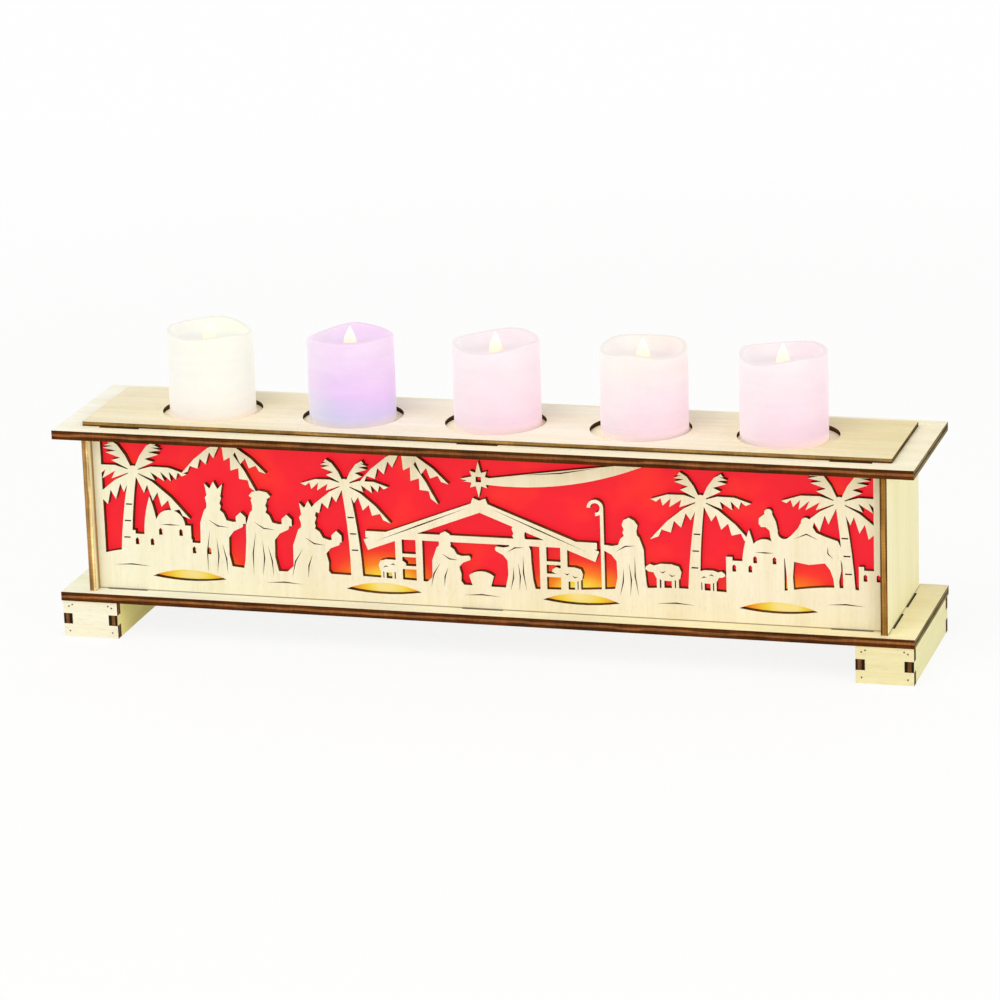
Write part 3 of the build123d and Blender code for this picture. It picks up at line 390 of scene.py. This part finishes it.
for node, (tree, axes, board) in boards.items():
    # Painted shade: a thin dark line just above the base plate, the tabs in the slots of the top plate, and
    # a band on the inner face of each end where it meets the front.
    line = ramp_of(tree, axes["z"], base_top + foot_shade_level, base_top + foot_shade_reach, foot_shade_strength, 0.0)
    tab = math_of(tree, "GREATER_THAN", axes["z"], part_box("top_plate")[0].z)
    painted_shade = math_of(tree, "MAXIMUM", line, tab)
    if "end" in node:
        low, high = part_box(node)
        inside = math_of(tree, "LESS_THAN", math_of(tree, "ABSOLUTE", axes["x"]), abs(low.x + high.x) / 2)
        corner = ramp_of(tree, axes["y"], front_y - corner_shade_reach, front_y - corner_shade_level)
        painted_shade = math_of(tree, "MAXIMUM", painted_shade, math_of(tree, "MULTIPLY", corner, inside))
    tree.links.new(painted_shade, board.inputs["Painted shade"])
tree, axes, board = boards["front_panel"]
whiteness = ramp_of(tree, axes["x"], 0.0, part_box("front_panel")[0].x)
tree.links.new(blend_of(tree, whiteness, front_face, front_left_face), board.inputs["Face"])


# Film: a sheet of red translucent plastic against the back of the fretwork. The lamps behind it make it
# glow red all over, orange near them and yellow where they stand close.
lamp_pitch, lamp_level, glow_width, glow_height = 0.088, 0.0075, 0.019, 0.0118
glow_stops = {
    0.0: paint(246, 30, 46), 0.16: paint(250, 60, 36), 0.5: paint(253, 146, 24),
    0.85: paint(255, 232, 70), 1.0: paint(255, 246, 150),
}
film, tree, shader = finish_of("Lit red film", Roughness=0.4, Specular_IOR_Level=0.2, Emission_Strength=0.8)
spot = spot_of(tree)
axes = parts_of(tree, spot)
phase = math_of(tree, "PINGPONG", math_of(tree, "SUBTRACT", axes[0], lamp_pitch / 2), lamp_pitch / 2)
beside = math_of(tree, "POWER", math_of(tree, "DIVIDE", phase, glow_width), 2.0)
above = math_of(tree, "SUBTRACT", axes[2], base_top + lamp_level)
above = math_of(tree, "POWER", math_of(tree, "ABSOLUTE", math_of(tree, "DIVIDE", above, glow_height)), 2.0)
haze = noise_of(tree, spot, (45, 45, 45), detail=2)
near = math_of(tree, "EXPONENT", math_of(tree, "MULTIPLY", math_of(tree, "ADD", beside, above), -1.0))
near = math_of(tree, "ADD", near, ramp_of(tree, haze, 0.4, 0.8, -0.02, 0.1))
glow = wire(tree, "ShaderNodeValToRGB", {0: near})
for place, colour in glow_stops.items():
    ends = {0.0: glow.color_ramp.elements[0], 1.0: glow.color_ramp.elements[-1]}
    stop = ends[place] if place in ends else glow.color_ramp.elements.new(place)
    stop.color = colour
tree.links.new(glow.outputs[0], shader.inputs["Emission Color"])
tint = blend_of(tree, swing_of(tree, haze, 0.0, 1.0), paint(120, 6, 12), paint(140, 10, 14))
tree.links.new(tint, shader.inputs["Base Color"])
dress(film, "red_film")


# Top plate: the twin of the base plate, cut from the same plywood, with slots for the tabs of the walls that
# it stands on. Its face is whiter at the left end, which is painted light falling more brightly on that
# margin.
plate_plywood("top_plate", paint(254, 250, 235), paint(252, 243, 213), length_share=0.063)


# Candle plate: a thinner plywood board glued on the top plate, with a round hole for each candle. Its veneer
# is pinkish in the middle and yellower, with more grain, towards the ends, and the walls of the holes are
# painted nearly black as the shade inside them.
candle_plate_middle, candle_plate_end = paint(250, 241, 222), paint(237, 223, 176)
candle_plate_char, candle_plate_core = paint(84, 54, 16), paint(151, 117, 64)
candle_plate_end_char, candle_plate_end_core = paint(62, 44, 8), paint(112, 88, 32)
candle_plate_stripe, candle_plate_reach = 0.64, 0.3
hole_shade_char, hole_shade_core = paint(44, 28, 12), paint(70, 46, 22)
pink_left, pink_right, yellow_left, yellow_right, yellow_left_share = -0.04, 0.05, -0.12, 0.18, 0.5
grain_middle, grain_gain, hole_reach = 1.0, 0.9, 0.026
tree, axes, board = plywood(
    "candle_plate", "x", "z", candle_plate_middle, candle_plate_char, candle_plate_core,
    candle_plate_stripe, candle_plate_reach,
)
leftness = ramp_of(tree, axes["x"], yellow_left, pink_left, yellow_left_share, 0.0)
endness = math_of(tree, "MAXIMUM", leftness, ramp_of(tree, axes["x"], pink_right, yellow_right))
tree.links.new(blend_of(tree, endness, candle_plate_middle, candle_plate_end), board.inputs["Face"])
grain = math_of(tree, "ADD", grain_middle, math_of(tree, "MULTIPLY", endness, grain_gain))
tree.links.new(grain, board.inputs["Streak"])
off_ends_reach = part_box("candle_plate")[1].x - hole_reach
off_sides = math_of(tree, "LESS_THAN", math_of(tree, "ABSOLUTE", axes["y"]), hole_reach)
off_ends = math_of(tree, "LESS_THAN", math_of(tree, "ABSOLUTE", axes["x"]), off_ends_reach)
in_hole = math_of(tree, "MULTIPLY", off_sides, off_ends)
end = board.inputs["End"].links[0].from_socket
tone_edges(tree, board, end, candle_plate_end_char, candle_plate_end_core)
# Painted shade: the walls of the holes take darker edge colours for the shade inside them.
tone_edges(tree, board, in_hole, hole_shade_char, hole_shade_core)


# Candles: LED candles of real wax. A wax sleeve, its rim melted down unevenly, stands round a moulded core,
# with a flat flame tip over the lamp and, below, a coin cell behind a hatch and a slide switch.
rim_slopes = [math.tan(math.radians(degrees)) for degrees in (17, 11, 14)]
rim_turns = [math.radians(degrees) for degrees in (20, 165, 260, 330, 235)]
rim_softness, rim_rise = 0.0011, 0.0004
wax_radius, bowl_radius, rim_height, bowl_floor = 0.019, 0.0164, 0.039, 0.030
rim_pivot = rim_height + max(rim_slopes) * wax_radius / 2
lip, foot_bevel, wall_rings, lip_rings, wax_steps, flame_steps = 0.0011, 0.0006, 8, 8, 96, 32
floor_skin_low, floor_skin_high = 0.00005, 0.0003
bowl_shares = ((1.0, 1.0), (0.98, 0.63), (0.93, 0.28), (0.78, 0.08), (0.55, 0.04), (0.26, 0.04))
wall_inset, dent_depth = 0.00012, 0.0002
dents_per_metre, dent_shift = Vector((90, 90, 60)), Vector((0, 0, 9))
merge_gap, wax_relief, flame_relief = 0.00001, 0.00005, 0.00004
# The wax of each candle from its foot to its rim, and how much the colours tilt from left to right, painted
# light that makes one side paler.
wax_tones = [
    ((paint(253, 246, 236), paint(253, 252, 242), paint(253, 254, 240)), 0.0),
    ((paint(202, 209, 240), paint(238, 205, 252), paint(250, 226, 250)), 0.2),
    ((paint(251, 219, 234), paint(253, 230, 240), paint(254, 242, 246)), -0.2),
    ((paint(250, 218, 231), paint(254, 231, 239), paint(254, 248, 239)), -0.2),
    ((paint(251, 219, 235), paint(253, 230, 241), paint(254, 242, 244)), -0.2),
]
# Painted light on the wax: a paler left side and a warmer, brighter foot. Painted shade dims surfaces that
# face up.
wax_middle_share, left_light_wax, left_light_share, left_light_start_share = 0.42, paint(255, 252, 254), 0.42, 0.2
foot_bounce_light, foot_bounce_share, foot_light_gain, foot_light_reach = paint(255, 232, 205), 0.5, 1.6, 0.006
bowl_light, bowl_light_share, bowl_light_reach_share = paint(255, 238, 196), 0.5, 0.3
wax_depth, cloud_depth, band_depth, upward_shade, cloud_drift = 0.575, 0.01, 0.008, 0.8, 0.0018
coin_steel = metal("Coin cell steel", paint(214, 213, 208), (220, 3000, 3000))
lamp_board = plastic("Lamp board", paint(232, 231, 222))


def melt(around, radius, turn):
    """Height of the melted rim: the lowest of its three slopes, softened where they meet."""
    slopes = [
        rim_pivot - slope * radius * math.cos(around - turn - math.tau * number / len(rim_slopes))
        for number, slope in enumerate(rim_slopes)
    ]
    lowest = -rim_softness * math.log(sum(math.exp(-height / rim_softness) for height in slopes))
    return lowest + rim_rise


def spun(section, steps, closed):
    """Bmesh of a section in the XZ plane, spun about the Z axis."""
    mesh = bmesh.new()
    points = [mesh.verts.new((radius, 0, height)) for radius, height in section]
    pairs = zip(points, points[1:] + points[:1]) if closed else zip(points, points[1:])
    edges = [mesh.edges.new(pair) for pair in pairs]
    bmesh.ops.spin(
        mesh, geom=points + edges, cent=(0, 0, 0), axis=(0, 0, 1), angle=math.tau, steps=steps,
        use_merge=True,
    )
    bmesh.ops.remove_doubles(mesh, verts=mesh.verts, dist=merge_gap)
    bmesh.ops.recalc_face_normals(mesh, faces=mesh.faces)
    return mesh


def wax_sleeve(turn, seed):
    """Wax of one candle about its own axis: a closed section, spun, whose rim follows the melted slopes."""
    shoulder = rim_height - lip
    section = [(bowl_radius, 0.0), (wax_radius - foot_bevel, 0.0)]
    section += [(wax_radius, foot_bevel + (shoulder - foot_bevel) * ring / wall_rings)
                for ring in range(wall_rings + 1)]
    lip_middle, lip_half = (wax_radius + bowl_radius) / 2, (wax_radius - bowl_radius) / 2
    for ring in range(1, lip_rings):
        angle = math.pi * ring / lip_rings
        section.append((lip_middle + lip_half * math.cos(angle), shoulder + lip * math.sin(angle)))
    section += [(out * bowl_radius, bowl_floor + up * (shoulder - bowl_floor)) for out, up in bowl_shares]
    section += [(section[-1][0], bowl_floor + floor_skin_low), (bowl_radius, bowl_floor + floor_skin_low)]
    mesh = spun(section, wax_steps, True)
    for vert in mesh.verts:
        radius, around = math.hypot(vert.co.x, vert.co.y), math.atan2(vert.co.y, vert.co.x)
        rise = (vert.co.z - bowl_floor - floor_skin_high) / (shoulder - bowl_floor - floor_skin_high)
        vert.co.z += min(max(rise, 0), 1) * (melt(around, radius, turn) - rim_height)
        place = Vector(wave * part for wave, part in zip(dents_per_metre, vert.co))
        dent = dent_depth * noise.noise(place + seed * dent_shift)
        outness = min(max((radius - bowl_radius) / (wax_radius - bowl_radius), 0), 1)
        squeeze = 1 - outness * max(wall_inset + dent, 0) / radius
        vert.co.x *= squeeze
        vert.co.y *= squeeze
    return mesh


def wax(title, tones, light_tilt, foot):
    """Wax lit from inside by its lamp, painted as a glow that is paler towards the top and warm in the bowl.
    Painted light also makes the left side paler and the foot warmer and brighter, and painted shade dims
    surfaces that face up; the faint clouds and poured bands are the wax's own."""
    material, tree, shader = finish_of(
        title, Roughness=0.42, Subsurface_Weight=0.3, Subsurface_Scale=0.004, Specular_IOR_Level=0.3,
        Emission_Strength=0.4,
    )
    spot = wire(tree, "ShaderNodeTexCoord").outputs
    centred = wire(tree, "ShaderNodeMapping", {"Vector": spot["Object"], "Location": -foot}).outputs[0]
    axes = parts_of(tree, centred)
    clouds = noise_of(tree, spot["Object"], (60, 60, 110))
    bands = noise_of(tree, spot["Object"], (14, 14, 420), detail=2)
    level = math_of(tree, "ADD", axes[2], swing_of(tree, clouds, -cloud_drift, cloud_drift))
    level = math_of(tree, "ADD", level, math_of(tree, "MULTIPLY", axes[0], light_tilt))
    height = wire(tree, "ShaderNodeMapRange", {0: level, 1: 0.0, 2: rim_height})
    tone = wire(tree, "ShaderNodeValToRGB", {0: height.outputs[0]})
    tone.color_ramp.elements[0].color, tone.color_ramp.elements[1].color = tones[0], tones[2]
    tone.color_ramp.elements.new(wax_middle_share).color = tones[1]
    # Painted light: the left side of the wax is blended towards a paler colour.
    left_light = ramp_of(tree, axes[0], left_light_start_share * wax_radius, -wax_radius, 0.0, left_light_share)
    colour = blend_of(tree, left_light, tone.outputs[0], left_light_wax)
    # Painted light: the foot is blended towards a warm colour, for light thrown back up by the pale wood.
    foot_bounce = ramp_of(tree, axes[2], 0.0, foot_light_reach, foot_bounce_share, 0.0)
    colour = blend_of(tree, foot_bounce, colour, foot_bounce_light)
    facing_up = parts_of(tree, spot["Normal"])[2]
    body = swing_of(tree, clouds, wax_depth - cloud_depth, wax_depth + cloud_depth)
    body = math_of(tree, "ADD", body, swing_of(tree, bands, -band_depth, band_depth))
    # Painted shade: surfaces of the wax that face up are dimmed.
    body = math_of(tree, "MULTIPLY", body, ramp_of(tree, facing_up, 0.2, 0.9, 1.0, upward_shade))
    # Painted light: the base colour is brighter at the foot, against the shade in the hole.
    body = math_of(tree, "MULTIPLY", body, ramp_of(tree, axes[2], 0.0, foot_light_reach, foot_light_gain, 1.0))
    tree.links.new(tint_of(tree, colour, body, body, body), shader.inputs["Base Color"])
    flat = wire(tree, "ShaderNodeCombineXYZ", {0: axes[0], 1: axes[1]}).outputs[0]
    radius = wire(tree, "ShaderNodeVectorMath", {0: flat}, operation="LENGTH").outputs["Value"]
    lit = ramp_of(tree, radius, bowl_radius, bowl_light_reach_share * bowl_radius, 0.0, bowl_light_share)
    tree.links.new(blend_of(tree, lit, colour, bowl_light), shader.inputs["Emission Color"])
    mottle = noise_of(tree, spot["Object"], (600, 600, 600), detail=2)
    bump_of(tree, shader, math_of(tree, "ADD", mottle, math_of(tree, "MULTIPLY", bands, 1.5)), wax_relief)
    return material


flame_glow, tree, shader = finish_of(
    "Lit flame tip", Roughness=0.3, Subsurface_Weight=0.3, Subsurface_Scale=0.003, Emission_Strength=0.35
)
spot = spot_of(tree)
low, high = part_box("candle_1_flame_tip")
rise = ramp_of(tree, parts_of(tree, spot)[2], low.z, high.z)
flame_tone = blend_of(tree, rise, paint(227, 218, 190), paint(228, 225, 216))
flame_light = blend_of(tree, rise, paint(255, 244, 196), paint(255, 251, 236))
tree.links.new(flame_tone, shader.inputs["Base Color"])
tree.links.new(flame_light, shader.inputs["Emission Color"])
bump_of(tree, shader, noise_of(tree, spot, (800, 800, 300), detail=2), flame_relief)

# Outline of the flame tip from its foot to its point, as shares of its greatest half width and its height.
flame_shares = (
    (0.0, 0.0), (0.84, 0.0), (0.93, 0.12), (1.0, 0.3), (0.95, 0.45), (0.79, 0.6), (0.56, 0.74), (0.33, 0.86),
    (0.16, 0.95), (0.0, 1.0),
)
for number, (tones, light_tilt) in enumerate(wax_tones):
    candle = f"candle_{number + 1}"
    low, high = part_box(f"{candle}_wax_shell")
    foot = Vector(((low.x + high.x) / 2, (low.y + high.y) / 2, low.z))
    sleeve = wax_sleeve(rim_turns[number], number)
    bmesh.ops.translate(sleeve, verts=sleeve.verts, vec=foot)
    finish = wax(f"{candle} wax", tones, light_tilt, foot)
    piece = piece_of(f"{candle}_melted_wax", sleeve, finish, candle)
    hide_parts(f"{candle}_wax_shell")

    low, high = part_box(f"{candle}_flame_tip")
    half_width, half_depth, height = (high.x - low.x) / 2, (high.y - low.y) / 2, high.z - low.z
    flame = spun([(half_width * out, height * up) for out, up in flame_shares], flame_steps, False)
    bmesh.ops.scale(flame, vec=(1, half_depth / half_width, 1), verts=flame.verts)
    bmesh.ops.translate(flame, verts=flame.verts, vec=((low.x + high.x) / 2, (low.y + high.y) / 2, low.z))
    piece = piece_of(f"{candle}_lit_flame", flame, flame_glow, candle)
    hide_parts(f"{candle}_flame_tip")

    dress(white_plastic, f"{candle}_core", f"{candle}_battery_hatch")
    dress(black_plastic, f"{candle}_switch_slider")
    dress(lamp_board, f"{candle}_led_board")
    dress(coin_steel, f"{candle}_coin_cell")


# Floor: a plain white studio sweep, which the camera sees as white and which keeps a soft shadow. Seen from
# below it is clear, so that the underside of the object shows.
floor_half, shown_near, shown_far, near_reach, far_reach = 6.0, 0.85, 0.98, 0.4, 1.2
floor_mesh = bmesh.new()
bmesh.ops.create_grid(floor_mesh, x_segments=1, y_segments=1, size=floor_half)
floor_data = bpy.data.meshes.new("floor")
floor_mesh.to_mesh(floor_data)
floor_mesh.free()
floor = bpy.data.objects.new("floor", floor_data)
bpy.context.scene.collection.objects.link(floor)


def seen_of(tree):
    """Value that is 1 where the camera sees a surface, straight or in a mirror or through glass."""
    path = wire(tree, "ShaderNodeLightPath").outputs
    mirrored = math_of(tree, "MAXIMUM", path["Is Glossy Ray"], path["Is Transmission Ray"])
    return math_of(tree, "MAXIMUM", path["Is Camera Ray"], mirrored)


paper, tree, shader = finish_of("White studio paper", Roughness=0.9, Specular_IOR_Level=0.1)
shader.inputs["Base Color"].default_value = paint(246, 245, 242)
away = wire(tree, "ShaderNodeVectorMath", {0: spot_of(tree)}, operation="LENGTH").outputs["Value"]
shown = ramp_of(tree, away, near_reach, far_reach, shown_near, shown_far)
share = math_of(tree, "MULTIPLY", seen_of(tree), shown)
white = wire(tree, "ShaderNodeEmission", {"Color": (1, 1, 1, 1), "Strength": 1.0})
lit = wire(tree, "ShaderNodeMixShader", {0: share, 1: shader.outputs[0], 2: white.outputs[0]})
below = wire(tree, "ShaderNodeNewGeometry").outputs["Backfacing"]
clear = wire(tree, "ShaderNodeBsdfTransparent")
mixed = wire(tree, "ShaderNodeMixShader", {0: below, 1: lit.outputs[0], 2: clear.outputs[0]})
tree.links.new(mixed.outputs[0], tree.nodes["Material Output"].inputs["Surface"])
floor_data.materials.append(paper)


# Studio light: a bright even room, a large soft box above and in front, and a weaker low one to the right.
room_light, room_white = 0.72, 1.0
soft_boxes = {"key": ((-0.4, -1.3, 1.9), 1.4, 17.5), "fill": ((1.7, -0.95, 0.38), 1.2, 9.0)}
light_aim = Vector((0, 0, 0.06))
world = bpy.data.worlds.new("Studio")
bpy.context.scene.world = world
world.use_nodes = True
tree = world.node_tree
room = tree.nodes["Background"]
room.inputs["Color"].default_value = (1, 1, 1, 1)
strength = math_of(tree, "MULTIPLY", seen_of(tree), room_white - room_light)
tree.links.new(math_of(tree, "ADD", room_light, strength), room.inputs["Strength"])
for title, (place, size, power) in soft_boxes.items():
    lamp = bpy.data.lights.new(title, "AREA")
    lamp.size, lamp.energy = size, power
    soft_box = bpy.data.objects.new(title, lamp)
    bpy.context.scene.collection.objects.link(soft_box)
    soft_box.location = place
    soft_box.rotation_euler = (light_aim - Vector(place)).to_track_quat("-Z", "Y").to_euler()


# Camera: in front of the right end and above, with a long lens, and tipped slightly to one side.
camera_place, camera_aim = Vector((0.54516, -1.86514, 0.63816)), Vector((0.00067, 0, 0.0607))
camera_roll = math.radians(-1.89)
camera_data = bpy.data.cameras.new("camera")
camera_data.lens, camera_data.sensor_width, camera_data.clip_start = 168.56, 36.0, 0.05
camera = bpy.data.objects.new("camera", camera_data)
bpy.context.scene.collection.objects.link(camera)
turn = (camera_aim - camera_place).to_track_quat("-Z", "Y").to_matrix().to_4x4()
camera.matrix_world = Matrix.Translation(camera_place) @ turn @ Matrix.Rotation(camera_roll, 4, "Z")
bpy.context.scene.camera = camera
bpy.context.scene.view_settings.view_transform = "Standard"
